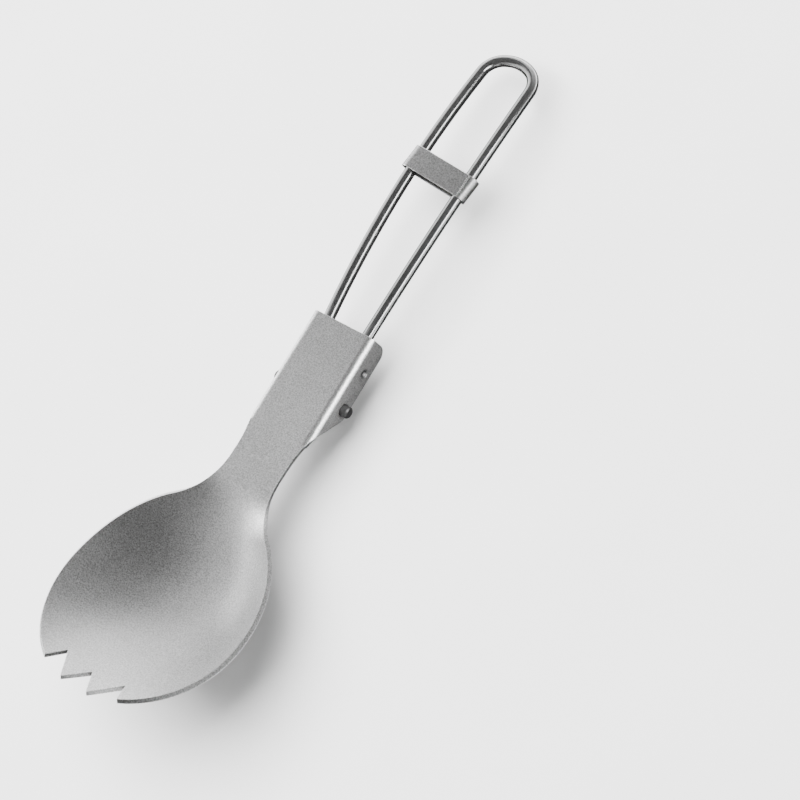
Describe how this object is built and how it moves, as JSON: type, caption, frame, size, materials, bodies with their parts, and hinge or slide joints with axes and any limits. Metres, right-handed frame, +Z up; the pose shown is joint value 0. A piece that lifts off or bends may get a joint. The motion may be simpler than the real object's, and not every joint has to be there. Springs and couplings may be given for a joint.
{
  "type": "folding spork",
  "caption": "Folding metal spork: a tined spoon bowl with a wire handle hinged in the flanges of its neck, and a ring that slides along the handle.",
  "frame": {"origin": "on the flat surface that the open spork lies on, below the middle of its length and width", "axes": "+Y from the tines towards the loop of the handle, +Z up out of the bowl's hollow, +X across the bowl"},
  "size_m": [0.0454, 0.1581, 0.0225],
  "materials": {
    "sheet": "bead-blasted titanium",
    "wire": "drawn and polished titanium",
    "strip": "blasted titanium strip"
  },
  "bodies": {
    "head": {"spork_head": "sheet"},
    "handle": {"handle_wire": "wire"},
    "ring": {"slide_ring": "strip"}
  },
  "joints": [
    {"name": "handle_fold", "type": "hinge", "parent": "head", "child": "handle", "pos_m": [0, -0.00352, 0.00265], "axis": [-1, 0, 0], "range_deg": [0, 177.5]},
    {"name": "ring_slide", "type": "hinge", "parent": "handle", "child": "ring", "pos_m": [0, 0.03347, -0.22828], "axis": [-1, 0, 0], "range_deg": [-8.1, 4.8]}
  ]
}
